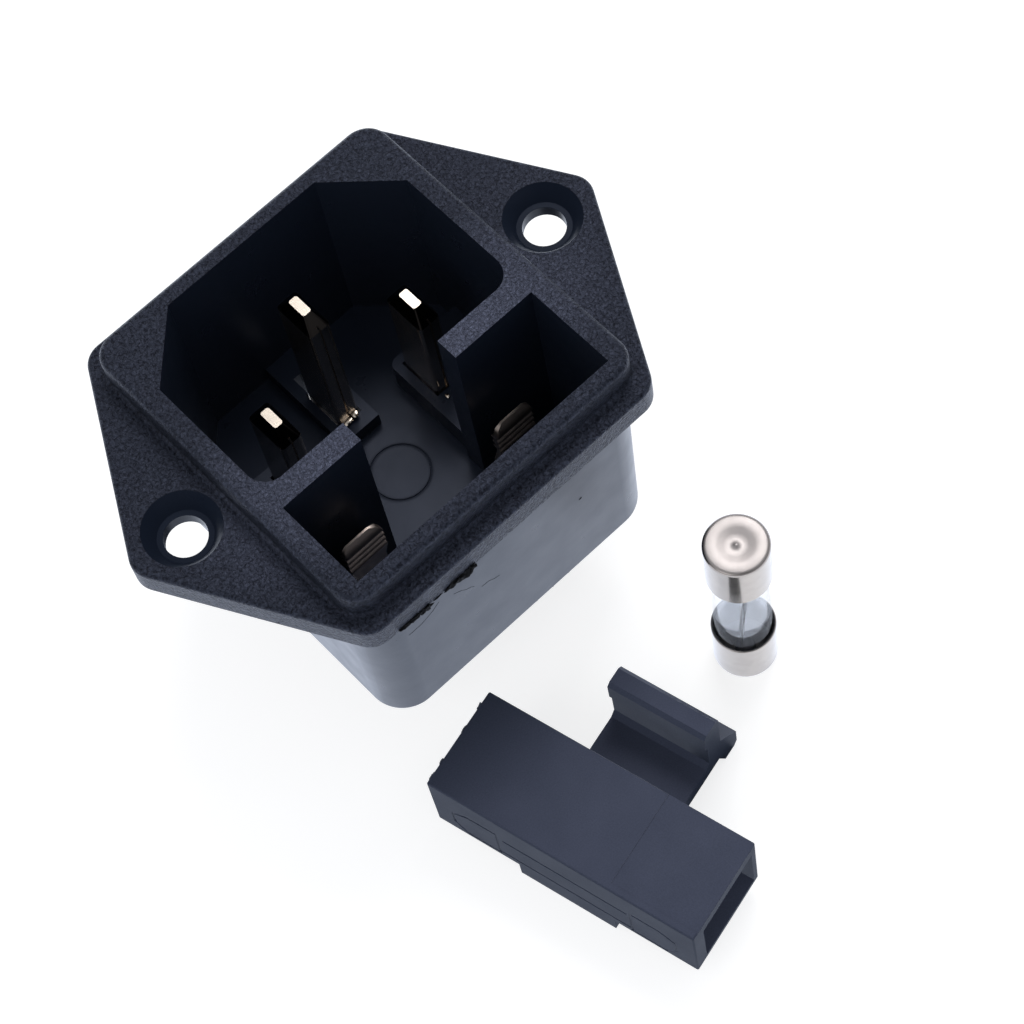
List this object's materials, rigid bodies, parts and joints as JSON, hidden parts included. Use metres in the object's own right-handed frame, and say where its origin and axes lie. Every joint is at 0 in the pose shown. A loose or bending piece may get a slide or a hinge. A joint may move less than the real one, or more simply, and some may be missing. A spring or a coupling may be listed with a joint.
{
  "type": "panel inlet socket",
  "caption": "Flange-mounted mains inlet socket with three flat pins and an open fuse bay, its fuse drawer and glass fuse taken out and stood beside it.",
  "frame": {"origin": "midway between the two screw holes, on the back face of the flange, which meets the panel", "axes": "+Z out of the front of the socket, +X along the line of the two screw holes, +Y towards the bevelled, earth side of the socket"},
  "size_m": [0.0452, 0.0593, 0.0322],
  "materials": {
    "black_plastic": "fine spark-eroded matt",
    "drawer_plastic": "fine matt",
    "nickel_plate": "bright nickel plate",
    "cap_nickel": "satin nickel plate",
    "clear_glass": "clear",
    "solder": "dull",
    "fuse_wire": "dull"
  },
  "bodies": {
    "root": {"housing": "black_plastic", "earth_pin": "nickel_plate", "neutral_pin": "nickel_plate", "line_pin": "nickel_plate", "line_fuse_clip": "nickel_plate", "live_terminal": "nickel_plate", "fuse_drawer": "drawer_plastic", "fuse_tube": "clear_glass", "fuse_cap_upper": "cap_nickel", "fuse_cap_lower": "cap_nickel", "fuse_solder_upper": "solder", "fuse_solder_lower": "solder", "fuse_wire": "fuse_wire"}
  },
  "joints": []
}
